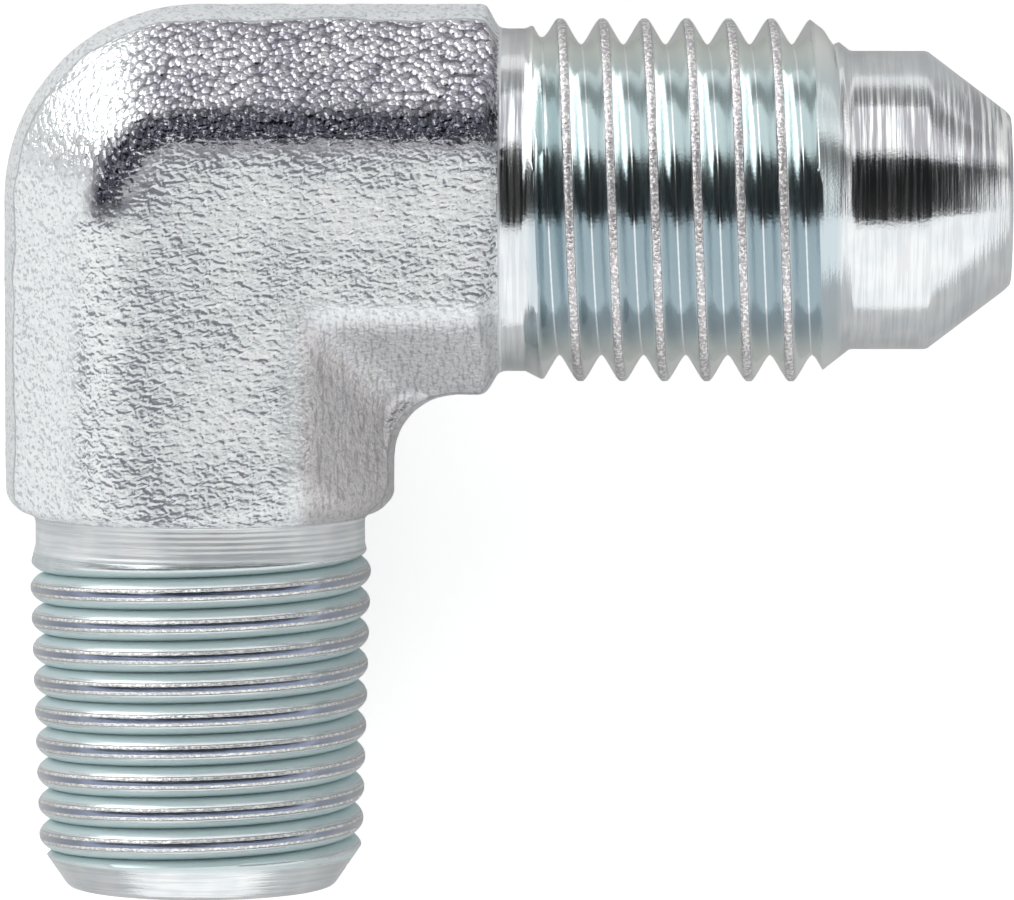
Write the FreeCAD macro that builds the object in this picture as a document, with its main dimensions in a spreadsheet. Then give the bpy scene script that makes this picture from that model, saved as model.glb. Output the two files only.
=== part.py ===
import FreeCAD, Part
import os
import Sketcher
from FreeCAD import Vector

# Hydraulic elbow adapter: a forged steel 90 degree elbow with a 37 degree flare end and a taper pipe end.
# It lies on its lower wrench flat. The two flow axes cross above the origin, the flare end points
# along +X, the pipe end along -Y, and the parting plane of the forging is level with both axes.
# Both threads are left as plain blanks at their crests, with their run-ins and bevels.

doc = FreeCAD.newDocument("ElbowAdapter")

# Driving dimensions, in millimetres and degrees
sheet = doc.addObject("Spreadsheet::Sheet", "Sizes")
sizes = [
    ("across_flats", 11.1, "wrench size of the forging"),
    ("flare_length", 24.45, "crossing of the axes to the nose"),
    ("pipe_length", 20.8, "crossing of the axes to the end of the pipe thread"),
    ("flare_shoulder", 9.05, "crossing to the forging's end on the flare side"),
    ("pipe_shoulder", 9.5, "crossing to the forging's end on the pipe side"),
    ("outer_reach", 5.95, "axis to the parting line on the outside of the bend"),
    ("inner_reach", 5.92, "axis to the parting line on the inside of the bend"),
    ("band_height", 1.9, "parting plane to the edge of the trimmed band"),
    ("outer_draft", 12.0, "slope of the band on the outside"),
    ("inner_draft", 4.0, "slope of the band on the inside"),
    ("outer_flat_edge", 2.5, "axis to the flat's edge on the outside, before rounding"),
    ("inner_flat_edge", 3.35, "axis to the flat's edge on the inside, before rounding"),
    ("flat_round", 1.5, "rounding between flat and bevel"),
    ("web_round", 1.87, "hollow of the trimmed web in the inside corner of the bend"),
    ("mitre_fillet", 1.1, "fillet where the inner bevels of the two arms meet"),
    ("turning_reach", 9.0, "radius that the shoulder cutters cover"),
    ("shoulder_bevel", 26.0, "slope of the turned shoulder on the flare side"),
    ("shoulder_round", 1.0, "turned rounding of the shoulder on the pipe side"),
    ("flare_neck", 10.34, "diameter of the plain neck behind the flare thread"),
    ("flare_neck_length", 0.8, "length of that neck"),
    ("flare_run_in", 27.0, "slope from the neck up to the straight thread"),
    ("flare_major", 10.95, "major diameter of the straight thread"),
    ("flare_thread_bevel", 38.0, "slope of the bevel at the start of the thread"),
    ("nose_diameter", 9.0, "plain cylinder between thread and cone"),
    ("nose_land", 2.3, "length of that cylinder"),
    ("nose_tip", 5.2, "diameter of the nose's end face"),
    ("flare_angle", 37.0, "half angle of the sealing cone"),
    ("flare_bore", 4.4, "flow bore of the flare end"),
    ("pipe_neck", 9.98, "diameter of the plain neck behind the pipe thread"),
    ("pipe_neck_length", 0.85, "length of that neck"),
    ("pipe_run_in", 20.0, "slope from the neck up to the taper thread"),
    ("pipe_major", 10.36, "major diameter of the taper thread at its large end"),
    ("pipe_taper", 1.7899, "half angle of the taper, one in sixteen on the diameter"),
    ("pipe_chamfer", 0.82, "depth of the entry chamfer, across the axis"),
    ("pipe_chamfer_angle", 33.0, "slope of the entry chamfer against the axis"),
    ("pipe_bore", 4.8, "flow bore of the pipe end"),
    ("mouth_chamfer", 0.25, "countersink at the mouth of each bore"),
    ("drill_angle", 118.0, "point angle of the two drills"),
]
for row, (alias, value, meaning) in enumerate(sizes, start=1):
    sheet.set("A%d" % row, alias)
    sheet.set("B%d" % row, str(value))
    sheet.set("C%d" % row, meaning)
    sheet.setAlias("B%d" % row, alias)
doc.recompute()

body = doc.addObject("PartDesign::Body", "elbow_body")
body.Label = "elbow_body"
body.setExpression("Placement.Base.z", "Sizes.across_flats / 2")
doc.recompute()


def origin_feature(role):
    """The body's own axis or plane with that role."""
    return next(feature for feature in body.Origin.OriginFeatures if feature.Role == role)


def new_sketch(name, plane, offset=None):
    """An empty sketch on one of the body's origin planes, or moved out from it by a length."""
    sketch = body.newObject("Sketcher::SketchObject", name)
    sketch.AttachmentSupport = (origin_feature(plane), [""])
    sketch.MapMode = "FlatFace"
    if offset:
        sketch.setExpression("AttachmentOffset.Base.z", offset)
    doc.recompute()
    return sketch


def outline(name, plane, corners, arc_from=None, arc_centre=None, arc_radius=None):
    """A closed outline through named corners, each placed by two expressions on the sheet.

    The edge that leaves the corner arc_from is an arc about arc_centre."""
    sketch = new_sketch(name, plane)
    places = [Vector(float(sketch.evalExpression(x)), float(sketch.evalExpression(y)), 0) for _, x, y in corners]
    count = len(corners)
    labels = [label for label, _, _ in corners]
    arc_edge = labels.index(arc_from) if arc_from else None
    starts = []
    for index in range(count):
        start, end = places[index], places[(index + 1) % count]
        if index == arc_edge:
            centre = Vector(*(float(sketch.evalExpression(value)) for value in arc_centre), 0)
            toward = ((start + end) / 2 - centre).normalize()
            sketch.addGeometry(Part.Arc(start, centre + toward * (start - centre).Length, end), False)
        else:
            sketch.addGeometry(Part.LineSegment(start, end), False)
        starts.append(1 if sketch.getPoint(index, 1).distanceToPoint(start) < near else 2)
    for index, (label, x, y) in enumerate(corners):
        following = (index + 1) % count
        ends = (index, 3 - starts[index], following, starts[following])
        sketch.addConstraint(Sketcher.Constraint("Coincident", *ends))
        for kind, letter, expression, value in (
            ("DistanceX", "x", x, places[index].x),
            ("DistanceY", "y", y, places[index].y),
        ):
            number = sketch.addConstraint(Sketcher.Constraint(kind, -1, 1, index, starts[index], value))
            sketch.renameConstraint(number, "%s_%s" % (label, letter))
            sketch.setExpression("Constraints.%s_%s" % (label, letter), expression)
    if arc_from:
        number = sketch.addConstraint(Sketcher.Constraint("Radius", arc_edge, sketch.Geometry[arc_edge].Radius))
        sketch.renameConstraint(number, "rounding")
        sketch.setExpression("Constraints.rounding", arc_radius)
    doc.recompute()
    return sketch


def shape_with(feature, adds):
    """Recompute, and stop if the feature failed or changed the solid the wrong way."""
    before = feature.BaseFeature.Shape.Volume if feature.BaseFeature else 0
    doc.recompute()
    change = feature.Shape.Volume - before if feature.isValid() else 0
    print("%-14s %8.3f mm3, %3d faces" % (feature.Label, change, len(feature.Shape.Faces)))
    if change * (1 if adds else -1) <= 0:
        raise RuntimeError("%s did not shape the solid" % feature.Label)
    return feature


near = 1e-4

# Forging: one section for both arms and, turned about the crossing, for the outside of the bend
half_flats = "Sizes.across_flats / 2"
outer_band = "(Sizes.outer_reach - Sizes.band_height * tan(Sizes.outer_draft * 1deg))"
inner_band = "(Sizes.inner_reach - Sizes.band_height * tan(Sizes.inner_draft * 1deg))"


def half_section(side, name, flat_edge, band, reach):
    """The corners from the top flat round to the bottom one. side is the sign of x in the sketch."""
    across = "%d * " % side
    return [
        (name + "_top", across + flat_edge, half_flats),
        (name + "_shoulder", across + band, "Sizes.band_height"),
        (name + "_parting", across + reach, "0"),
        (name + "_under", across + band, "-Sizes.band_height"),
        (name + "_bottom", across + flat_edge, "-" + half_flats),
    ]


def arm_section(side):
    """A whole arm's section. side is 1 where the sketch's x points out of the bend, and -1 where in."""
    outer = half_section(side, "outer", "Sizes.outer_flat_edge", outer_band, "Sizes.outer_reach")
    inner = half_section(-side, "inner", "Sizes.inner_flat_edge", inner_band, "Sizes.inner_reach")
    return outer + inner[::-1]


bend = body.newObject("PartDesign::Revolution", "OuterBend")
bend.Profile = outline(
    "BendSection",
    "YZ_Plane",
    [("axis_top", "0", half_flats)]
    + half_section(1, "outer", "Sizes.outer_flat_edge", outer_band, "Sizes.outer_reach")
    + [("axis_bottom", "0", "-" + half_flats)],
)
bend.ReferenceAxis = (origin_feature("Z_Axis"), [""])
bend.Angle = 90
shape_with(bend, adds=True)

flare_arm = body.newObject("PartDesign::Pad", "FlareArm")
flare_arm.Profile = outline("FlareArmSection", "YZ_Plane", arm_section(1))
flare_arm.setExpression("Length", "Sizes.flare_shoulder")
shape_with(flare_arm, adds=True)

pipe_arm = body.newObject("PartDesign::Pad", "PipeArm")
pipe_arm.Profile = outline("PipeArmSection", "XZ_Plane", arm_section(-1))
pipe_arm.setExpression("Length", "Sizes.pipe_shoulder")
shape_with(pipe_arm, adds=True)


def size(alias):
    """A driving dimension as a number, for telling edges apart."""
    return float(sheet.get(alias))


def edges_where(shape, chosen):
    """Names of the edges whose two ends and middle pass the test together."""
    names = []
    for number, edge in enumerate(shape.Edges, start=1):
        middle = edge.valueAt((edge.FirstParameter + edge.LastParameter) / 2)
        if chosen([vertex.Point for vertex in edge.Vertexes] + [middle]):
            names.append("Edge%d" % number)
    return names


def in_bend_mitre(points):
    """An edge where the inner bevels of the two arms meet."""
    return all(abs(point.x + point.y) < near < point.x for point in points)


def on_long_rim(points):
    """A long side of a wrench flat: on the flat, but not on an end of the forging."""
    level = all(abs(abs(point.z) - size("across_flats") / 2) < near for point in points)
    flare_end = all(abs(point.x - size("flare_shoulder")) < near for point in points)
    pipe_end = all(abs(point.y + size("pipe_shoulder")) < near for point in points)
    return level and not flare_end and not pipe_end


def fillet(name, base, chosen, radius):
    """A fillet on the edges of the base feature that pass the test."""
    feature = body.newObject("PartDesign::Fillet", name)
    feature.Base = (base, edges_where(base.Shape, chosen))
    feature.setExpression("Radius", radius)
    return feature


web_start = "(Sizes.inner_reach + Sizes.web_round)"
web = body.newObject("PartDesign::Pad", "BendWeb")
web.Profile = outline(
    "BendWebOutline",
    "XY_Plane",
    [
        ("flare_side", web_start, "-Sizes.inner_reach"),
        ("pipe_side", "Sizes.inner_reach", "-" + web_start),
        ("pipe_inside", "Sizes.inner_flat_edge", "-" + web_start),
        ("middle", "Sizes.inner_flat_edge", "-Sizes.inner_flat_edge"),
        ("flare_inside", web_start, "-Sizes.inner_flat_edge"),
    ],
    arc_from="flare_side",
    arc_centre=(web_start, "-" + web_start),
    arc_radius="Sizes.web_round",
)
web.SideType = "Two sides"
for value in ("Length", "Length2"):
    web.setExpression(value, "Sizes.band_height")
for value in ("TaperAngle", "TaperAngle2"):
    web.setExpression(value, "-Sizes.inner_draft")
shape_with(web, adds=True)

corner = shape_with(fillet("BendCorner", web, in_bend_mitre, "Sizes.mitre_fillet"), adds=True)
rims = shape_with(fillet("FlatRims", corner, on_long_rim, "Sizes.flat_round"), adds=False)

# Shoulders: the forging's two ends are turned where the plain necks begin
bevel_back = "(Sizes.turning_reach - Sizes.flare_neck / 2) * tan(Sizes.shoulder_bevel * 1deg)"
flare_facing = body.newObject("PartDesign::Groove", "FlareShoulder")
flare_facing.Profile = outline("FlareShoulderCut", "XY_Plane", [
    ("neck", "Sizes.flare_shoulder", "Sizes.flare_neck / 2"),
    ("front", "Sizes.flare_shoulder", "Sizes.turning_reach"),
    ("back", "Sizes.flare_shoulder - " + bevel_back, "Sizes.turning_reach"),
])
flare_facing.ReferenceAxis = (origin_feature("X_Axis"), [""])
shape_with(flare_facing, adds=False)

round_start = "(Sizes.pipe_neck / 2 + Sizes.shoulder_round)"
round_level = "(Sizes.pipe_shoulder - Sizes.shoulder_round)"
pipe_facing = body.newObject("PartDesign::Groove", "PipeShoulder")
pipe_facing.Profile = outline(
    "PipeShoulderCut",
    "XY_Plane",
    [
        ("neck", "Sizes.pipe_neck / 2", "-Sizes.pipe_shoulder"),
        ("round", round_start, "-" + round_level),
        ("back", "Sizes.turning_reach", "Sizes.turning_reach - %s - %s" % (round_start, round_level)),
        ("front", "Sizes.turning_reach", "-Sizes.pipe_shoulder"),
    ],
    arc_from="neck",
    arc_centre=("Sizes.pipe_neck / 2", "-" + round_level),
    arc_radius="Sizes.shoulder_round",
)
pipe_facing.ReferenceAxis = (origin_feature("Y_Axis"), [""])
shape_with(pipe_facing, adds=False)

# Flare end: neck, thread blank, plain land and sealing cone
flare_blank_start = "(Sizes.flare_shoulder + Sizes.flare_neck_length)"
flare_rise = "(Sizes.flare_major - Sizes.flare_neck) / 2 / tan(Sizes.flare_run_in * 1deg)"
cone_length = "(Sizes.nose_diameter - Sizes.nose_tip) / 2 / tan(Sizes.flare_angle * 1deg)"
land_start = "(Sizes.flare_length - Sizes.nose_land - %s)" % cone_length
bevel_length = "(Sizes.flare_major - Sizes.nose_diameter) / 2 / tan(Sizes.flare_thread_bevel * 1deg)"
flare_end = body.newObject("PartDesign::Revolution", "FlareEnd")
flare_end.Profile = outline("FlareProfile", "XY_Plane", [
    ("root", "Sizes.flare_shoulder", "0"),
    ("neck_start", "Sizes.flare_shoulder", "Sizes.flare_neck / 2"),
    ("neck_end", flare_blank_start, "Sizes.flare_neck / 2"),
    ("blank_start", flare_blank_start + " + " + flare_rise, "Sizes.flare_major / 2"),
    ("blank_end", land_start + " - " + bevel_length, "Sizes.flare_major / 2"),
    ("land_start", land_start, "Sizes.nose_diameter / 2"),
    ("cone_start", "Sizes.flare_length - " + cone_length, "Sizes.nose_diameter / 2"),
    ("tip", "Sizes.flare_length", "Sizes.nose_tip / 2"),
    ("nose", "Sizes.flare_length", "0"),
])
flare_end.ReferenceAxis = (origin_feature("X_Axis"), [""])
shape_with(flare_end, adds=True)

# Pipe end: neck, taper thread blank and entry chamfer
pipe_blank_start = "(Sizes.pipe_shoulder + Sizes.pipe_neck_length)"
pipe_rise = "(Sizes.pipe_major - Sizes.pipe_neck) / 2 / tan(Sizes.pipe_run_in * 1deg)"
large_end = "(%s + %s)" % (pipe_blank_start, pipe_rise)
chamfer_length = "Sizes.pipe_chamfer / tan(Sizes.pipe_chamfer_angle * 1deg)"
chamfer_start = "(Sizes.pipe_length - %s)" % chamfer_length

taper_fall = "(%s - %s) * tan(Sizes.pipe_taper * 1deg)" % (chamfer_start, large_end)
chamfer_radius = "(Sizes.pipe_major / 2 - %s)" % taper_fall
pipe_end = body.newObject("PartDesign::Revolution", "PipeEnd")
pipe_end.Profile = outline("PipeProfile", "XY_Plane", [
    ("root", "0", "-Sizes.pipe_shoulder"),
    ("neck_start", "Sizes.pipe_neck / 2", "-Sizes.pipe_shoulder"),
    ("neck_end", "Sizes.pipe_neck / 2", "-" + pipe_blank_start),
    ("blank_start", "Sizes.pipe_major / 2", "-" + large_end),
    ("blank_end", chamfer_radius, "-" + chamfer_start),
    ("rim", chamfer_radius + " - Sizes.pipe_chamfer", "-Sizes.pipe_length"),
    ("end", "0", "-Sizes.pipe_length"),
])
pipe_end.ReferenceAxis = (origin_feature("Y_Axis"), [""])
shape_with(pipe_end, adds=True)


# Flow bores: drilled from both ends until each passes the other
def bore(name, plane, length, diameter, other_diameter):
    """A drilled and countersunk hole from the end of one arm to the far side of the other's bore."""
    sketch = new_sketch(name + "Centre", plane, length)
    circle = Part.Circle(Vector(0, 0, 0), Vector(0, 0, 1), float(sketch.evalExpression(diameter)) / 2)
    sketch.addGeometry(circle, False)
    sketch.addConstraint(Sketcher.Constraint("Coincident", 0, 3, -1, 1))
    number = sketch.addConstraint(Sketcher.Constraint("Diameter", 0, circle.Radius * 2))
    sketch.renameConstraint(number, "bore")
    sketch.setExpression("Constraints.bore", diameter)
    hole = body.newObject("PartDesign::Hole", name)
    hole.Profile = sketch
    doc.recompute()
    hole.DepthType = "Dimension"
    hole.DrillPoint = "Angled"
    hole.HoleCutType = "Countersink"
    hole.setExpression("Diameter", diameter)
    hole.setExpression("Depth", "%s + %s / 2" % (length, other_diameter))
    hole.setExpression("DrillPointAngle", "Sizes.drill_angle")
    hole.setExpression("HoleCutDiameter", "%s + 2 * Sizes.mouth_chamfer" % diameter)
    return shape_with(hole, adds=False)


bore("FlareBore", "YZ_Plane", "Sizes.flare_length", "Sizes.flare_bore", "Sizes.pipe_bore")
bore("PipeBore", "XZ_Plane", "Sizes.pipe_length", "Sizes.pipe_bore", "Sizes.flare_bore")

for item in doc.Objects:
    if "Invalid" in item.State or "Error" in item.State:
        raise RuntimeError("%s failed" % item.Label)
if body.Shape.isNull() or not body.Shape.isValid():
    raise RuntimeError("the elbow is not a valid solid")

os.makedirs("parts", exist_ok=True)
body.Shape.exportStep("parts/%s.step" % body.Label)
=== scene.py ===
import math

import bmesh
import bpy
from mathutils import Matrix, Vector, noise


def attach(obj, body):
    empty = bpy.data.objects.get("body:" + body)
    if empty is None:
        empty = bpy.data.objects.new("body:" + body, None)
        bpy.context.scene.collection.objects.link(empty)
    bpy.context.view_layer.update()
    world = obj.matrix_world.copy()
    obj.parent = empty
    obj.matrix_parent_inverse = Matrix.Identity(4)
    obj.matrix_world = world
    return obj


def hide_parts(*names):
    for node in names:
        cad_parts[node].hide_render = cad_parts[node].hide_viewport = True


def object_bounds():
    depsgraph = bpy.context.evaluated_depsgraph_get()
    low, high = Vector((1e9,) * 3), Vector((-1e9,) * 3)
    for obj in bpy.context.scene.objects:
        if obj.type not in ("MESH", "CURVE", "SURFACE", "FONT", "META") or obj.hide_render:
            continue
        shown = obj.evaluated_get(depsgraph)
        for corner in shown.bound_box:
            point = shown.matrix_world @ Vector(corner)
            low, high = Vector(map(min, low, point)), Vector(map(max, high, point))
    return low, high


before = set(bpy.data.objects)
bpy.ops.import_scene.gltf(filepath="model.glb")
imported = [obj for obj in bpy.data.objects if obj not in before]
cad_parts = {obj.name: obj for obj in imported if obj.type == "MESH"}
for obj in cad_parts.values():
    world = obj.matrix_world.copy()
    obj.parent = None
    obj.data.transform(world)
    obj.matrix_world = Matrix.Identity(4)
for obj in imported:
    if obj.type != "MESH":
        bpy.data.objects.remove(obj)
cad_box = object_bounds()

# Sizes of the fitting, in metres. The two flow axes cross above the origin, the flare end points along +X
# and the pipe end along -Y. The two turned ends are made about X, and their places are given along it.
MM = 0.001
AXIS_HEIGHT = (cad_box[0].z + cad_box[1].z) / 2
PARTING_HEIGHT = 1.9 * MM
FORGING_CELL = 0.125 * MM
HAMMER_FADE = 0.35 * MM
EDGE_WIDTH = 0.6 * MM
TRIM_WANDER = 0.11 * MM
TRIM_DEPTH = 0.05 * MM
FLARE_SHOULDER = 9.05 * MM
PIPE_SHOULDER = 9.5 * MM
DRILL_REACH = 4.0 * MM
MOUTH_CHAMFER = 0.25 * MM
NECK_GAP = 0.15 * MM
CONE_ANGLE = math.radians(37)
SHARP_EDGE = math.radians(35)
STEPS_AROUND = 96

# How near points count as one, and how far off a plane they still lie in it
SOLID_SEAM = 0.0005 * MM
SPUN_SEAM = 0.001 * MM
CUT_SLACK = 0.0001 * MM
PLANE_SLACK = 0.01 * MM
BORE_SLACK = 0.01 * MM
SHOULDER_SLACK = 0.02 * MM

FLARE_LENGTH = cad_box[1].x
FLARE_BLANK_CUT = 9.8 * MM
FLARE_START = 9.5 * MM
FLARE_STOP = 19.8 * MM
FLARE_ROWS = 16
FLARE_NECK = 5.17 * MM
FLARE_CREST = 5.475 * MM
FLARE_PITCH = 1.27 * MM
FLARE_DEPTH = 0.8 * MM
FLARE_FIRST_CREST = 12.48 * MM
FLARE_BORE = 2.2 * MM
NOSE_RADIUS = 4.5 * MM
NOSE_TIP = 2.6 * MM
FLARE_RUN_OUT = (9.7 * MM, 10.6 * MM)
FLARE_BLANK = (
    (9.85 * MM, FLARE_NECK),
    (10.45 * MM, FLARE_CREST),
    (18.38 * MM, FLARE_CREST),
    (19.63 * MM, NOSE_RADIUS),
)

PIPE_LENGTH = -cad_box[0].y
PIPE_BLANK_CUT = 10.3 * MM
PIPE_START = 9.95 * MM
PIPE_STOP = 20.7 * MM
PIPE_ROWS = 14
PIPE_NECK = 4.99 * MM
PIPE_CREST = 5.18 * MM
PIPE_PITCH = 0.9407 * MM
PIPE_DEPTH = 0.47 * MM
PIPE_FIRST_CREST = 11.509 * MM
PIPE_TAPER = math.tan(math.radians(1.7899))
PIPE_TAPER_START = 10.87 * MM
PIPE_CHAMFER_START = 19.54 * MM
PIPE_CHAMFER = 0.82 * MM
PIPE_BORE = 2.4 * MM
PIPE_RUN_OUT = (10.0 * MM, 10.75 * MM)
PIPE_RISE = (10.4 * MM, 11.15 * MM, 11.4 * MM)


def smooth_step(value, low, high):
    """0 below low, 1 above high, and an even S between them."""
    share = min(max((value - low) / (high - low), 0.0), 1.0)
    return share * share * (3 - 2 * share)


def between(value, stations):
    """The height of a broken line through (place, height) stations."""
    for (start, low), (end, high) in zip(stations, stations[1:]):
        if value <= end:
            return low + (high - low) * max((value - start) / (end - start), 0.0)
    return stations[-1][1]


# The forging


def solid_copy():
    """A merged copy of the solid's mesh."""
    shape = bmesh.new()
    shape.from_mesh(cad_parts["elbow_body"].data)
    bmesh.ops.remove_doubles(shape, verts=shape.verts, dist=SOLID_SEAM)
    return shape


def in_bore(place):
    """Whether a point of the solid is on one of the two drilled walls."""
    slack = MOUTH_CHAMFER + BORE_SLACK
    height = place.z - AXIS_HEIGHT
    by_flare = math.hypot(place.y, height) < FLARE_BORE + slack and place.x > -DRILL_REACH
    by_pipe = math.hypot(place.x, height) < PIPE_BORE + slack and place.y < DRILL_REACH
    return by_flare or by_pipe


def bore_faces(shape):
    """The faces of both drilled walls."""
    return [face for face in shape.faces if all(in_bore(vert.co) for vert in face.verts)]


def cut_square(shape, place, direction):
    """Removes what lies past a plane."""
    geometry = shape.verts[:] + shape.edges[:] + shape.faces[:]
    bmesh.ops.bisect_plane(
        shape, geom=geometry, dist=CUT_SLACK, plane_co=place, plane_no=direction, clear_outer=True
    )


def mesh_of(shape, name):
    """Makes a bmesh an ordinary mesh, and frees it."""
    mesh = bpy.data.meshes.new(name)
    shape.to_mesh(mesh)
    shape.free()
    return mesh


def evenly_meshed(mesh, cell):
    """The same closed shape with evenly small faces."""
    blank = bpy.data.objects.new("forging_blank", mesh)
    bpy.context.scene.collection.objects.link(blank)
    even = blank.modifiers.new("even", "REMESH")
    even.mode = "VOXEL"
    even.voxel_size = cell
    bpy.context.view_layer.update()
    result = bpy.data.meshes.new_from_object(blank.evaluated_get(bpy.context.evaluated_depsgraph_get()))
    bpy.data.objects.remove(blank)
    return result


def hammering(place, normal):
    """How far a point of the forging's skin moves off the plain shape: pebbles, swells and uneven trim."""
    at = place / MM
    off_flare = smooth_step(FLARE_SHOULDER - place.x, 0, HAMMER_FADE)
    off_pipe = smooth_step(PIPE_SHOULDER + place.y, 0, HAMMER_FADE)
    pebbles = 0.5 + 0.5 * noise.fractal(at * 2.1, 0.8, 2.1, 3)
    swells = 0.5 + 0.5 * noise.noise(at * 0.55 + Vector((7, 3, 1)))
    depth = (0.022 * pebbles + 0.03 * swells) * MM
    edge_distance = abs(abs(place.z - AXIS_HEIGHT) - PARTING_HEIGHT)
    near_edge = 1 - smooth_step(edge_distance, 0, EDGE_WIDTH)
    trim = TRIM_WANDER * near_edge * noise.noise(at * 0.9 + Vector((2, 9, 4)))
    sideways = Vector((normal.x, normal.y, 0))
    return (normal * -depth + sideways * (trim - TRIM_DEPTH * near_edge)) * off_flare * off_pipe


def forged_skin():
    """The forging's outside, hammered and open at both necks."""
    blank = solid_copy()
    bmesh.ops.delete(blank, geom=bore_faces(blank), context="FACES")
    cut_square(blank, (FLARE_BLANK_CUT, 0, 0), (1, 0, 0))
    cut_square(blank, (0, -PIPE_BLANK_CUT, 0), (0, -1, 0))
    bmesh.ops.holes_fill(blank, edges=[edge for edge in blank.edges if edge.is_boundary], sides=0)
    bmesh.ops.recalc_face_normals(blank, faces=blank.faces)
    shape = bmesh.new()
    shape.from_mesh(evenly_meshed(mesh_of(blank, "forging_blank"), FORGING_CELL))
    for _ in range(2):
        bmesh.ops.smooth_vert(
            shape, verts=shape.verts, factor=0.5, use_axis_x=True, use_axis_y=True, use_axis_z=True
        )
    shape.normal_update()
    moves = [(vert, hammering(vert.co, vert.normal)) for vert in shape.verts]
    for vert, move in moves:
        vert.co += move
    cut_square(shape, (FLARE_START - NECK_GAP, 0, 0), (1, 0, 0))
    cut_square(shape, (0, NECK_GAP - PIPE_START, 0), (0, -1, 0))
    return shape


# The turned ends


def groove_share(phase):
    """How deep the straight thread's groove is at a place of its pitch: 0 on the crest, 1 in the root."""
    crest = 0.16
    root = 0.06
    rounding = 0.15
    round_share = 0.6
    ramp = 1 - abs(2 * (phase % 1.0) - 1)
    flank = (ramp - crest) / (1 - crest - root)
    rounded = smooth_step(flank, -rounding, 1 + rounding)
    straight = min(max(flank, 0.0), 1.0)
    return rounded * round_share + straight * (1 - round_share)


def notch_share(phase):
    """The same for the taper thread, whose round crests meet in a narrow notch."""
    ramp = 1 - abs(2 * (phase % 1.0) - 1)
    return 1 - (1 - ramp * ramp) ** 0.7


def threaded(start, stop, pitch, rows, crest_at, radius_at):
    """A right-hand thread about X, cut square at both ends, with so many rows of points to a pitch.

    It is spun at one radius, and each point is then put at its own.
    """
    shape = bmesh.new()
    first = crest_at - math.ceil((crest_at - start) / pitch + 1) * pitch
    count = math.ceil((stop - first) / pitch) * rows
    line = [shape.verts.new((first + number * pitch / rows, 0, PIPE_CREST)) for number in range(count + 1)]
    edges = [shape.edges.new(pair) for pair in zip(line, line[1:])]
    bmesh.ops.spin(
        shape, geom=line + edges, cent=(0, 0, 0), axis=(1, 0, 0), dvec=(pitch / STEPS_AROUND, 0, 0),
        angle=2 * math.pi, steps=STEPS_AROUND
    )
    bmesh.ops.remove_doubles(shape, verts=shape.verts, dist=SPUN_SEAM)
    cut_square(shape, (start, 0, 0), (-1, 0, 0))
    cut_square(shape, (stop, 0, 0), (1, 0, 0))
    for vert in shape.verts:
        turn = math.atan2(-vert.co.y, vert.co.z) / (2 * math.pi)
        phase = (vert.co.x - crest_at) / pitch - turn
        scale = radius_at(vert.co.x, phase) / math.hypot(vert.co.y, vert.co.z)
        vert.co.y *= scale
        vert.co.z *= scale
    return shape


def rim(shape, direction, place):
    """The open edges that lie in a plane square to a direction."""
    return [
        edge for edge in shape.edges
        if edge.is_boundary and all(abs(vert.co.dot(direction) - place) < PLANE_SLACK for vert in edge.verts)
    ]


def turned(shape, place, stations):
    """Carries the open rim at a place on X on through stations of place and radius."""
    along = Vector((1, 0, 0))
    edges = rim(shape, along, place)
    for next_place, radius in stations:
        carried = bmesh.ops.extrude_edge_only(shape, edges=edges)["geom"]
        rings = [item for item in carried if isinstance(item, bmesh.types.BMVert)]
        for vert in rings:
            scale = radius / math.hypot(vert.co.y, vert.co.z)
            vert.co = (next_place, vert.co.y * scale, vert.co.z * scale)
        kept = set(rings)
        edges = [
            item for item in carried
            if isinstance(item, bmesh.types.BMEdge) and item.is_boundary and kept.issuperset(item.verts)
        ]


def flare_radius(x, phase):
    """Radius of the straight thread, its run-out and its bevel."""
    depth = FLARE_DEPTH * smooth_step(x, *FLARE_RUN_OUT)
    return min(between(x, FLARE_BLANK), FLARE_CREST - depth * groove_share(phase))


def flare_end():
    """The thread, the land, the cone and the end face, with their edges a little eased."""
    shape = threaded(FLARE_START, FLARE_STOP, FLARE_PITCH, FLARE_ROWS, FLARE_FIRST_CREST, flare_radius)
    cone_start = FLARE_LENGTH - (NOSE_RADIUS - NOSE_TIP) / math.tan(CONE_ANGLE)
    turned(shape, FLARE_STOP, [
        (20.6 * MM, NOSE_RADIUS),
        (cone_start - 0.06 * MM, NOSE_RADIUS),
        (cone_start + 0.05 * MM, NOSE_RADIUS - 0.03 * MM),
        (FLARE_LENGTH - 0.16 * MM, NOSE_TIP + 0.12 * MM),
        (FLARE_LENGTH - 0.05 * MM, NOSE_TIP + 0.01 * MM),
        (FLARE_LENGTH, NOSE_TIP - 0.05 * MM),
        (FLARE_LENGTH, FLARE_BORE + MOUTH_CHAMFER + 0.02 * MM),
    ])
    return shape


def pipe_radius(x, phase):
    """Radius of the taper thread, its run-out and its entry chamfer."""
    crest = PIPE_CREST - (x - PIPE_TAPER_START) * PIPE_TAPER
    start = between(x, tuple(zip(PIPE_RISE, (PIPE_NECK, PIPE_CREST, crest))))
    chamfer = between(x, [(PIPE_CHAMFER_START, crest), (PIPE_LENGTH, crest - PIPE_CHAMFER)])
    depth = PIPE_DEPTH * smooth_step(x, *PIPE_RUN_OUT)
    return min(start, chamfer, crest - depth * notch_share(phase))


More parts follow.
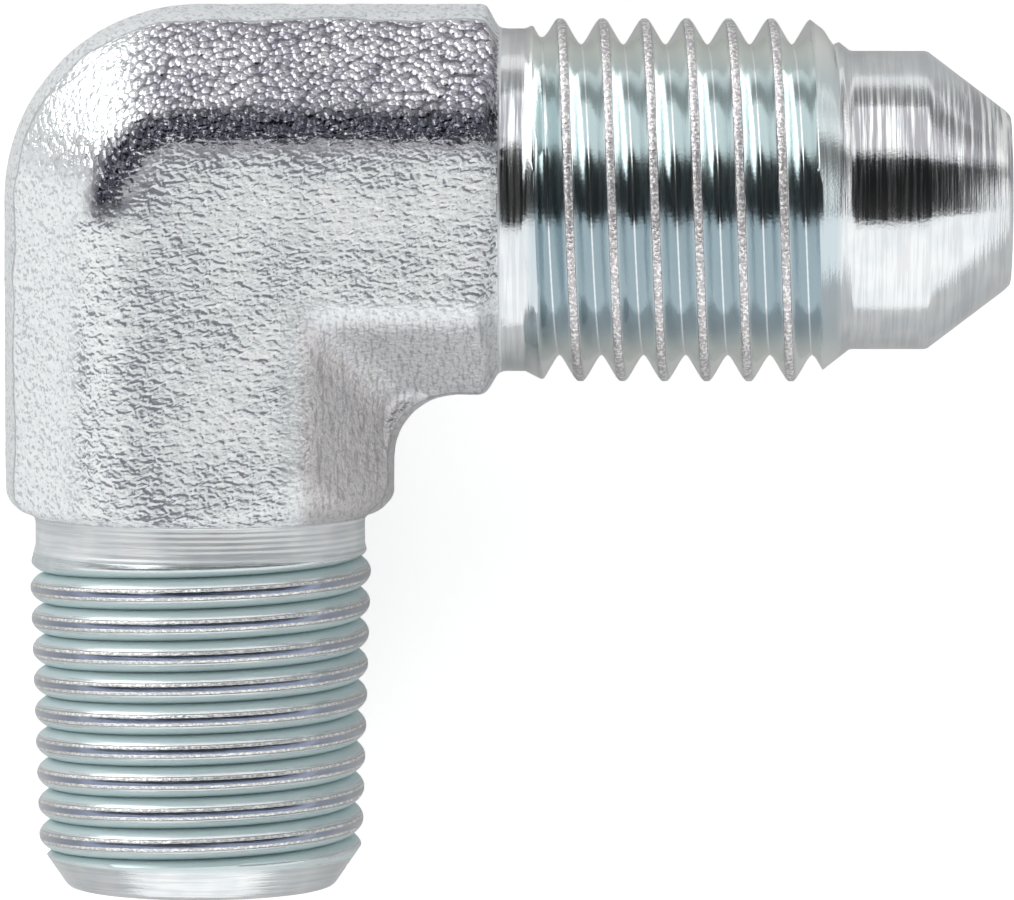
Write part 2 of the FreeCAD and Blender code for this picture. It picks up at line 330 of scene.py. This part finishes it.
def pipe_end():
    """The thread, its entry chamfer and the end face."""
    shape = threaded(PIPE_START, PIPE_STOP, PIPE_PITCH, PIPE_ROWS, PIPE_FIRST_CREST, pipe_radius)
    end_radius = pipe_radius(PIPE_LENGTH, 0)
    turned(shape, PIPE_STOP, [
        (PIPE_LENGTH - 0.02 * MM, end_radius - 0.02 * MM),
        (PIPE_LENGTH, end_radius - 0.08 * MM),
        (PIPE_LENGTH, PIPE_BORE + MOUTH_CHAMFER + 0.02 * MM),
    ])
    return shape


def add_to(whole, part, place):
    """Puts one mesh's geometry into another."""
    bmesh.ops.transform(part, matrix=place, verts=part.verts)
    mesh = mesh_of(part, "part")
    whole.from_mesh(mesh)
    bpy.data.meshes.remove(mesh)


def drilled_bores():
    """The walls of both bores, as the solid has them."""
    shape = solid_copy()
    walls = set(bore_faces(shape))
    bmesh.ops.delete(shape, geom=[face for face in shape.faces if face not in walls], context="FACES")
    return shape


def whole_elbow():
    """The forging, both threaded ends and the drilled bores as one closed skin."""
    whole = forged_skin()
    to_axis = Matrix.Translation((0, 0, AXIS_HEIGHT))
    add_to(whole, flare_end(), to_axis)
    add_to(whole, pipe_end(), to_axis @ Matrix.Rotation(math.radians(-90), 4, "Z"))
    add_to(whole, drilled_bores(), Matrix.Identity(4))
    for direction, start, length in (
        (Vector((1, 0, 0)), FLARE_START, FLARE_LENGTH),
        (Vector((0, -1, 0)), PIPE_START, PIPE_LENGTH),
    ):
        neck = rim(whole, direction, start - NECK_GAP) + rim(whole, direction, start)
        bmesh.ops.bridge_loops(whole, edges=neck)
        mouth = rim(whole, direction, length)
        bmesh.ops.triangle_fill(whole, edges=mouth, use_beauty=True, normal=direction)
    bmesh.ops.recalc_face_normals(whole, faces=whole.faces)
    return whole


def finish_of(face):
    """Which of the three finishes a face has: forged, flare end or pipe end.

    The wall of a bore has its end's finish all through.
    """
    place = face.calc_center_median()
    drilled = all(in_bore(vert.co) for vert in face.verts)
    if place.x > FLARE_SHOULDER + SHOULDER_SLACK or (drilled and place.x > -place.y):
        return 1
    if place.y < -PIPE_SHOULDER - SHOULDER_SLACK or drilled:
        return 2
    return 0


def elbow_piece():
    shape = whole_elbow()
    for vert in shape.verts:
        vert.co = Vector(min(max(part, low), high) for part, low, high in zip(vert.co, *cad_box))
    for face in shape.faces:
        face.smooth = True
        face.material_index = finish_of(face)
    piece = bpy.data.objects.new("elbow", mesh_of(shape, "elbow"))
    bpy.context.scene.collection.objects.link(piece)
    piece.data.set_sharp_from_angle(angle=SHARP_EDGE)
    return piece


elbow = elbow_piece()
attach(elbow, "root")
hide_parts("elbow_body")


# Finishes

# Colours of the plating and the steel, and of painted shade, highlight and reflection
DULL_PLATING = (0.84, 0.88, 0.90, 1)
BRIGHT_PLATING = (0.94, 0.97, 0.98, 1)
# Painted reflection on the +Y bevel, in a dark and a pale tone
DARK_BEVEL_REFLECTION = (0.42, 0.41, 0.46, 1)
PALE_BEVEL_REFLECTION = (0.64, 0.63, 0.67, 1)
# Painted shade between the beads
SHADE_BETWEEN_BEADS = (0.22, 0.21, 0.26, 1)
# Painted shade on the inner bevels, lighter on the flare arm's side and browner on the pipe arm's
FLARE_SIDE_BEVEL_SHADE = (0.64, 0.65, 0.67, 1)
PIPE_SIDE_BEVEL_SHADE = (0.56, 0.53, 0.53, 1)
TRIMMED_BAND = (0.62, 0.64, 0.65, 1)
TRIM_LINE = (0.30, 0.30, 0.32, 1)
# Painted shade on one side of small pits and of scale pits
SMALL_PIT_SHADE = (0.32, 0.34, 0.38, 1)
PIT_SHADE = (0.14, 0.14, 0.18, 1)
# Painted shade on one side of grain and of streak marks
GRAIN_SHADE = (0.36, 0.37, 0.41, 1)
STREAK_SHADE = (0.28, 0.26, 0.26, 1)
# Painted dark reflection along the +Y edge of the flat
DARK_EDGE_REFLECTION = (0.055, 0.058, 0.075, 1)
WARM_TURNING = (0.78, 0.80, 0.81, 1)
COOL_TURNING = (0.70, 0.74, 0.76, 1)
# Painted shade on the lower flanks and painted light on the upper ones
LOWER_FLANK_SHADE = (0.50, 0.58, 0.615, 1)
UPPER_FLANK_LIGHT = (0.66, 0.74, 0.75, 1)
# Painted reflection along the outline
OUTLINE_REFLECTION = (0.90, 0.93, 0.89, 1)
TEAL_GROOVE = (0.58, 0.70, 0.71, 1)
BRIGHT_ROOT = (0.98, 0.98, 0.98, 1)
# Turning marks, darkened as painted shade on the +Y side
SCORE_AND_SHADE = (0.26, 0.25, 0.28, 1)
# Painted shade among the burrs
BURR_SHADE_TONE = (0.60, 0.58, 0.56, 1)
BURR_GLINT = (1.0, 1.0, 0.98, 1)
# Painted dark reflections along the crests
GREY_CREST_REFLECTION = (0.50, 0.47, 0.49, 1)
BLUE_CREST_REFLECTION = (0.13, 0.17, 0.28, 1)
# Painted shade darkening the bore walls
SHADED_BORE_WALL = (0.42, 0.42, 0.43, 1)
GLINT = (1.0, 1.0, 1.0, 1)


class Socket:
    """A shader value: arithmetic on it adds Math nodes, and node() adds any other."""

    def __init__(self, tree, output):
        self.tree = tree
        self.output = output

    def node(self, kind, settings=None, result=0, **inputs):
        """Adds a node. An input is named by its name, or by n and its number."""
        made = self.tree.nodes.new(kind)
        for name, value in (settings or {}).items():
            setattr(made, name, value)
        for name, value in inputs.items():
            key = int(name[1:]) if name[0] == "n" and name[1:].isdigit() else name.replace("_", " ")
            if isinstance(value, Socket):
                self.tree.links.new(value.output, made.inputs[key])
            else:
                made.inputs[key].default_value = value
        return Socket(self.tree, made.outputs[result])

    def math(self, operation, *values):
        inputs = {"n%d" % index: value for index, value in enumerate(values)}
        return self.node("ShaderNodeMath", {"operation": operation}, **inputs)

    def __add__(self, other):
        return self.math("ADD", self, other)

    __radd__ = __add__

    def __sub__(self, other):
        return self.math("SUBTRACT", self, other)

    def __rsub__(self, other):
        return self.math("SUBTRACT", other, self)

    def __mul__(self, other):
        return self.math("MULTIPLY", self, other)

    __rmul__ = __mul__

    def ramp(self, low, high, start=0.0, end=1.0):
        """An even S from start at low to end at high."""
        settings = {"interpolation_type": "SMOOTHSTEP"}
        return self.node("ShaderNodeMapRange", settings, Value=self, n1=low, n2=high, n3=start, n4=end)


def new_material(name):
    material = bpy.data.materials.new(name)
    material.use_nodes = True
    shader = material.node_tree.nodes["Principled BSDF"]
    return material, shader, Socket(material.node_tree, None)


def link(value, socket):
    value.tree.links.new(value.output, socket)


def mixed(maker, share, first, second):
    """A colour between two others."""
    settings = {"data_type": "RGBA"}
    return maker.node("ShaderNodeMix", settings, result=2, n0=share, n6=first, n7=second)


def cloudy(maker, place, scale, detail, distortion=0.0):
    """Noise, about a half on average. Its scale is one number, or one for each axis."""
    stretched = place
    if isinstance(scale, tuple):
        stretched = maker.node("ShaderNodeMapping", Vector=place, Scale=scale)
        scale = 1.0
    settings = {"Scale": scale, "Detail": detail, "Roughness": 0.6, "Distortion": distortion}
    return maker.node("ShaderNodeTexNoise", Vector=stretched, **settings)


def lit_relief(maker, place, scale, detail, shift, distortion=0.0):
    """How steeply a noise falls over a small shift, as light from one side would show it."""
    moved = maker.node("ShaderNodeMapping", Vector=place, Scale=scale, Location=shift)
    here = cloudy(maker, place, scale, detail, distortion)
    return here - cloudy(maker, moved, 1.0, detail, distortion)


def millimetres(maker):
    """Object coordinates in millimetres, from the crossing of the axes."""
    place = maker.node("ShaderNodeTexCoord", result=3)
    lowered = (0, 0, -AXIS_HEIGHT / MM)
    return maker.node("ShaderNodeMapping", Vector=place, Scale=(1 / MM,) * 3, Location=lowered)


def axes_of(maker, place):
    """The three parts of a vector."""
    parts = maker.node("ShaderNodeSeparateXYZ", Vector=place).output.node.outputs
    return [Socket(maker.tree, part) for part in parts]


def forged_zinc():
    """Plated forging scale: dull and pitted on the flats, beaded and brighter on the bevels. Pits, grain and
    streak marks carry painted light and shade, and the +Y bevel, a band along its edge and the inner bevels
    are darkened as painted reflection and painted shade.

    Places are in millimetres, from the crossing of the axes.
    """
    material, shader, maker = new_material("forged_zinc")
    place = millimetres(maker)
    x, y, z = axes_of(maker, place)
    beyond_x = maker.math("MAXIMUM", x * -1, 0.0)
    beyond_y = maker.math("MAXIMUM", y, 0.0)
    outside = maker.math("SQRT", beyond_x * beyond_x + beyond_y * beyond_y)
    inside = maker.math("MINIMUM", x, y * -1)
    height = maker.math("ABSOLUTE", z)
    wobble = cloudy(maker, place, 1.1, 2.0) - 0.5
    crowding = cloudy(maker, place, 0.5, 1.0)

    fade = 2.35 + beyond_x.ramp(1.0, 2.0) * (y * -1).ramp(-0.5, 0.5) * 1.6
    flat = (fade - outside - wobble * 0.8).ramp(0.0, 0.9) * inside.ramp(2.5, 3.3, 1.0, 0.0)
    trimmed = height.ramp(1.82, 1.94, 1.0, 0.0)
    trim_line = height.ramp(1.72, 1.80) * height.ramp(1.84, 1.94, 1.0, 0.0)
    y_side = (y - beyond_x * 0.3).ramp(-0.9, 1.1)
    corner = beyond_x.ramp(0.6, 2.8) * beyond_y.ramp(0.4, 2.4) * outside.ramp(2.6, 3.3)
    inner_bevel = inside.ramp(3.0, 3.6)

    # Painted light and shade: the slope of a noise, dark on one side of a pit and light on the other, denser
    # towards the left and the +Y edge
    lit_scale_marks = lit_relief(maker, place, (3.2, 6.0, 3.2), 2.5, (0.15, 0.4, 0.0), 0.8)
    thick = x.ramp(-2.5, 1.5, 0.03, 0.0) + outside.ramp(0.3, 2.1, 0.0, 0.14) * (y + 0.5).ramp(0.0, 1.0)
    lit_marks = lit_scale_marks * 1.1 + (crowding - 0.5) * 0.35 - thick
    # Painted shade on one side of the pits, and painted highlights on the other
    shaded_pits = lit_marks.ramp(-0.18, -0.02, 1.0, 0.0) * flat
    glints = lit_marks.ramp(0.04, 0.16) * flat
    # Painted shade on one side of smaller pits
    small_pit_shade = lit_relief(maker, place, (6.0, 9.0, 6.0), 1.5, (0.2, 0.4, 0.0))
    small_pit_shade = small_pit_shade.ramp(-0.16, -0.02, 1.0, 0.0) * flat

    # The painted dark reflection, in a band along the +Y edge where the flat rounds into the bevel
    band = outside + wobble * 0.5 + lit_scale_marks * 1.2
    edge = band.ramp(1.85, 2.1) * (outside + wobble * 0.6).ramp(2.65, 3.3, 1.0, 0.0)
    edge = edge * (y + wobble).ramp(-0.9, 0.2)
    beaded = (1 - flat) * (1 - trimmed) * maker.math("MAXIMUM", y_side, edge)
    # Painted shade on one side of fine grain; its lit side leaves bright specks in the dark band
    lit_grains = lit_relief(maker, place, (5.5, 5.5, 5.5), 2.0, (0.3, 0.3, 0.0))
    shaded_grain = lit_grains.ramp(-0.16, 0.0, 1.0, 0.0) * (1 - flat) * (1 - beaded)
    # Painted shade along streak marks on the inner bevels
    streak_shade = lit_relief(maker, place, (7.0, 1.6, 1.6), 1.5, (0.45, 0.0, 0.0))
    streak_shade = streak_shade.ramp(-0.2, 0.0, 1.0, 0.0) * inner_bevel
    cells = maker.node("ShaderNodeMapping", Vector=place, Scale=(4.9, 3.4, 3.4))
    beads = maker.node("ShaderNodeTexVoronoi", Vector=cells, Scale=1.0)
    beads = beads * beads
    fine = cloudy(maker, place, 7.5, 1.0)

    bevel = outside.ramp(1.9, 2.6) * (1 - trimmed) * y_side
    flat_relief = outside.ramp(1.9, 2.9, 1.0, 0.0) * inside.ramp(2.5, 3.3, 1.0, 0.0)
    relief = lit_scale_marks * flat_relief * 0.9 - beads * bevel * (1.9 - corner * 1.45) + fine * 0.5
    bump = maker.node("ShaderNodeBump", Height=relief, Strength=1.0, Distance=0.075 * MM)

    colour = mixed(maker, fine.ramp(0.35, 0.65), DULL_PLATING, BRIGHT_PLATING)
    # Painted reflection: the +Y bevel and the edge band turn darker grey-violet, but not at the outer corner
    bevel_reflection = mixed(maker, crowding.ramp(0.35, 0.65), DARK_BEVEL_REFLECTION, PALE_BEVEL_REFLECTION)
    colour = mixed(maker, beaded * (0.95 - corner * 0.95), colour, bevel_reflection)
    # Painted shade in the hollows between the beads
    colour = mixed(maker, beads.ramp(0.2, 0.5) * beaded * (1 - corner) * 0.6, colour, SHADE_BETWEEN_BEADS)
    # Painted shade on the inner bevels, browner on the pipe arm's side
    bevel_shade_colour = mixed(maker, (y * -1 - x).ramp(-0.5, 0.5), FLARE_SIDE_BEVEL_SHADE, PIPE_SIDE_BEVEL_SHADE)
    colour = mixed(maker, inner_bevel * 0.8, colour, bevel_shade_colour)
    colour = mixed(maker, trimmed * 0.35, colour, TRIMMED_BAND)
    colour = mixed(maker, trim_line * (1 - flat) * 0.6, colour, TRIM_LINE)
    # Painted shade of pits, painted highlights, painted shade of grain and streak marks, and the painted dark
    # reflection at the edge
    colour = mixed(maker, small_pit_shade * 0.45, colour, SMALL_PIT_SHADE)
    colour = mixed(maker, shaded_pits * 0.85, colour, PIT_SHADE)
    colour = mixed(maker, glints * 0.8, colour, GLINT)
    colour = mixed(maker, shaded_grain * 0.6, colour, GRAIN_SHADE)
    colour = mixed(maker, streak_shade * 0.5, colour, STREAK_SHADE)
    colour = mixed(maker, edge * lit_grains.ramp(0.08, 0.16, 0.97, 0.3), colour, DARK_EDGE_REFLECTION)
    link(colour, shader.inputs["Base Color"])
    link(bump, shader.inputs["Normal"])
    link(0.42 - beaded * 0.24 - inner_bevel * 0.08, shader.inputs["Roughness"])
    link(0.4 + beaded * 0.58 + inner_bevel * 0.2, shader.inputs["Metallic"])
    return material


def turned_zinc(name, along, radii, threads, rings, crest_reflection, burred, root, dull):
    """Bright turned plating on one of the two ends, in millimetres, with painted shade and light on the
    flanks, painted reflections along the crests and outline, and painted shade in the bores.

    Along is the axis of turning: 0 for X and 1 for Y. Radii are the crest's, its taper and where that starts,
    and the bore's. Threads are the two ends of the thread, and rings those of the ridged part of the neck.
    The crest colour and depth give the painted dark reflection along the crests, burred the depths between
    which they are rough, and root the depth where the bottom of the groove starts. Dull is how dull the
    groove is.
    """
    material, shader, maker = new_material(name)
    place = millimetres(maker)
    parts = axes_of(maker, place)
    distance = parts[along] * (1 if along == 0 else -1)
    across = parts[1 - along]
    crest, taper, taper_start, bore = radii
    radius = maker.math("SQRT", across * across + parts[2] * parts[2])
    below = (crest - (distance - taper_start) * taper) - radius
    in_thread = distance.ramp(threads[0] - 0.1, threads[0] + 0.3)
    in_thread = in_thread * distance.ramp(threads[1] - 0.3, threads[1], 1.0, 0.0)
    # Painted dark reflection along the crests, on the pipe end fainter lower down
    crest_reflection_colour, crest_depth = crest_reflection
    crest_reflection_line = below.ramp(crest_depth * 0.5, crest_depth, 1.0, 0.0) * in_thread
    crest_reflection_line = crest_reflection_line * (1 - parts[2].ramp(1.0, 4.6, 0.55, 0.0) * dull)
    low, high = burred
    burred_crest = below.ramp(low, low + 0.006) * below.ramp(high * 0.7, high, 1.0, 0.0) * in_thread
    in_groove = below.ramp(high - 0.02, high + 0.1) * in_thread
    in_root = below.ramp(root, root + 0.04) * in_thread
    drilled = radius.ramp(bore + 0.02, bore + 0.1, 1.0, 0.0)

    marks = cloudy(maker, place, (9.0, 0.3, 0.3) if along == 0 else (0.3, 9.0, 0.3), 3.0)
    burrs = cloudy(maker, place, 10.0, 2.0)
    cloud = cloudy(maker, place, 0.9, 1.0)
    ridges = maker.math("SINE", distance * (2 * math.pi / 0.17))
    ridged = distance.ramp(rings[0] - 0.05, rings[0]) * distance.ramp(rings[1] - 0.1, rings[1], 1.0, 0.0)
    relief = marks * (1 - 0.7 * in_groove) + burrs * burred_crest * 3.5 + burrs * 0.2 + ridges * ridged * 0.5
    bump = maker.node("ShaderNodeBump", Height=relief, Strength=1.0, Distance=0.014 * MM)

    colour = mixed(maker, cloud.ramp(0.35, 0.65), WARM_TURNING, COOL_TURNING)
    # Painted shade on the lower flanks, painted light on the upper ones, and a painted reflection near the
    # outline
    flank = mixed(maker, parts[1].ramp(-0.5, 1.5), LOWER_FLANK_SHADE, UPPER_FLANK_LIGHT)
    flank = mixed(maker, maker.math("ABSOLUTE", parts[1]).ramp(3.6, 4.9), flank, OUTLINE_REFLECTION)
    teal = mixed(maker, dull, flank, TEAL_GROOVE)
    colour = mixed(maker, in_groove * 0.9, colour, teal)
    colour = mixed(maker, in_root * 0.9, colour, BRIGHT_ROOT)
    # Turning marks, painted darker on the +Y side, with painted glints there
    y_side = parts[1].ramp(-0.3, 0.8) * parts[1].ramp(3.0, 3.9, 1.0, 0.0)
    scored_and_shaded = marks.ramp(0.42, 0.56, 1.0, 0.0) * (0.2 + y_side * 0.55) * (1 - in_groove)
    colour = mixed(maker, scored_and_shaded, colour, SCORE_AND_SHADE)
    colour = mixed(maker, marks.ramp(0.54, 0.6) * y_side * (1 - in_groove), colour, GLINT)
    # Painted shade among the burrs on the pipe's crests
    colour = mixed(maker, burred_crest * dull * 0.75, colour, BURR_SHADE_TONE)
    colour = mixed(maker, crest_reflection_line * 0.85, colour, crest_reflection_colour)
    colour = mixed(maker, burred_crest * burrs.ramp(0.48, 0.58, 0.0, 0.9), colour, BURR_GLINT)
    # Bore walls darkened as painted shade
    colour = mixed(maker, drilled, colour, SHADED_BORE_WALL)
    link(colour, shader.inputs["Base Color"])
    link(bump, shader.inputs["Normal"])
    softened = maker.math("MAXIMUM", in_groove, crest_reflection_line * 0.25) * dull
    softened = maker.math("MAXIMUM", softened, maker.math("MAXIMUM", ridged, drilled))
    roughness = 0.1 + marks.ramp(0.35, 0.65) * 0.1 + burred_crest * 0.2 + softened * 0.25
    link(roughness, shader.inputs["Roughness"])
    link(1 - softened * 0.6, shader.inputs["Metallic"])
    return material


def flare_zinc():
    return turned_zinc(
        "flare_zinc", 0, (FLARE_CREST / MM, 0.0, 0.0, FLARE_BORE / MM), threads=(9.9, 19.4), rings=(9.1, 9.2),
        crest_reflection=(GREY_CREST_REFLECTION, 0.065), burred=(-0.05, 0.065), root=0.76, dull=0.0
    )


def pipe_zinc():
    return turned_zinc(
        "pipe_zinc", 1, (PIPE_CREST / MM, PIPE_TAPER, PIPE_TAPER_START / MM, PIPE_BORE / MM),
        threads=(10.6, 20.0), rings=(9.6, 10.7), crest_reflection=(BLUE_CREST_REFLECTION, 0.016),
        burred=(0.012, 0.06), root=0.6, dull=1.0
    )


elbow.data.materials.append(forged_zinc())
elbow.data.materials.append(flare_zinc())
elbow.data.materials.append(pipe_zinc())


# Studio

TABLE_EDGE = 21 * MM
TABLE_COLOUR = (0.82, 0.82, 0.82, 1)
TABLE_GLOW = (0.6, 0.6, 0.6, 1)
TENT_LEVEL = 1.22
LAMP_LEVEL = 2.2


def studio_floor():
    """A pale table top, which ends a little behind the fitting."""
    shape = bmesh.new()
    bmesh.ops.create_grid(shape, x_segments=1, y_segments=1, size=1.0)
    bmesh.ops.translate(shape, verts=shape.verts, vec=(0, TABLE_EDGE - 1.0, 0))
    floor = bpy.data.objects.new("floor", mesh_of(shape, "floor"))
    bpy.context.scene.collection.objects.link(floor)
    material, shader, maker = new_material("pale_floor")
    shader.inputs["Base Color"].default_value = TABLE_COLOUR
    shader.inputs["Roughness"].default_value = 0.9
    shader.inputs["Specular IOR Level"].default_value = 0.0
    shader.inputs["Emission Strength"].default_value = 1.0
    seen = maker.node("ShaderNodeLightPath", result=0)
    link(mixed(maker, seen, (0, 0, 0, 1), TABLE_GLOW), shader.inputs["Emission Color"])
    floor.data.materials.append(material)


def studio_sky():
    """A white tent, with a wide dark gap over the fitting that reaches further towards +Y than towards -Y.

    Beyond the table's edge the room is dim, but for one bright lamp box at the outer corner's side.
    """
    world = bpy.data.worlds.new("tent")
    bpy.context.scene.world = world
    world.use_nodes = True
    maker = Socket(world.node_tree, None)
    x, y, z = axes_of(maker, maker.node("ShaderNodeTexCoord", result=0))
    side = maker.math("ABSOLUTE", x)
    gap = (y + 0.29 - side * 0.19).ramp(-0.03, 0.03) * (0.66 - side * 0.27 - y).ramp(-0.05, 0.05)
    gap = gap * z.ramp(-0.15, -0.05) * side.ramp(0.955, 0.985, 1.0, 0.0)
    gap = gap * side.ramp(0.85, 0.96, 0.975, 0.775)
    wall = z.ramp(0.1, 0.2, 1.0, 0.0) * z.ramp(-0.25, -0.12)
    behind = y.ramp(0.0, 0.3) * side.ramp(0.75, 0.93, 1.0, 0.0)
    behind = behind * (wall * 0.62 + z.ramp(-0.25, -0.12, 0.2, 0.0))
    azimuth = maker.math("ARCTAN2", x * -1, y)
    lamp = azimuth.ramp(math.radians(20), math.radians(27))
    lamp = lamp * azimuth.ramp(math.radians(60), math.radians(66), 1.0, 0.0)
    lamp = lamp * z.ramp(-0.45, -0.35) * z.ramp(0.75, 0.85, 1.0, 0.0)
    level = maker.math("MAXIMUM", 1.0 - gap - behind, lamp * LAMP_LEVEL)
    seen = maker.node("ShaderNodeLightPath", result=0)
    background = world.node_tree.nodes["Background"]
    background.inputs["Color"].default_value = (1, 1, 1, 1)
    link(seen + (1 - seen) * level * TENT_LEVEL, background.inputs["Strength"])


# Above the elbow and a little beyond its +Y side, with its turns in degrees
CAMERA_PLACE = Vector((13.40, 11.27, 249.68)) * MM
CAMERA_TILT = 4.4145
CAMERA_YAW = -0.9615
CAMERA_ROLL = -0.0785
FOCAL_PIXELS = 8093.2
IMAGE_WIDTH = 1014


def studio_camera():
    camera = bpy.data.objects.new("camera", bpy.data.cameras.new("camera"))
    bpy.context.scene.collection.objects.link(camera)
    camera.matrix_world = (
        Matrix.Translation(CAMERA_PLACE)
        @ Matrix.Rotation(math.radians(-CAMERA_TILT), 4, "X")
        @ Matrix.Rotation(math.radians(-CAMERA_YAW), 4, "Y")
        @ Matrix.Rotation(math.radians(-CAMERA_ROLL), 4, "Z")
    )
    camera.data.sensor_width = 36
    camera.data.lens = FOCAL_PIXELS / IMAGE_WIDTH * camera.data.sensor_width
    camera.data.clip_start = 0.01
    camera.data.clip_end = 5
    return camera


studio_floor()
studio_sky()
bpy.context.scene.camera = studio_camera()
bpy.context.scene.view_settings.view_transform = "Standard"
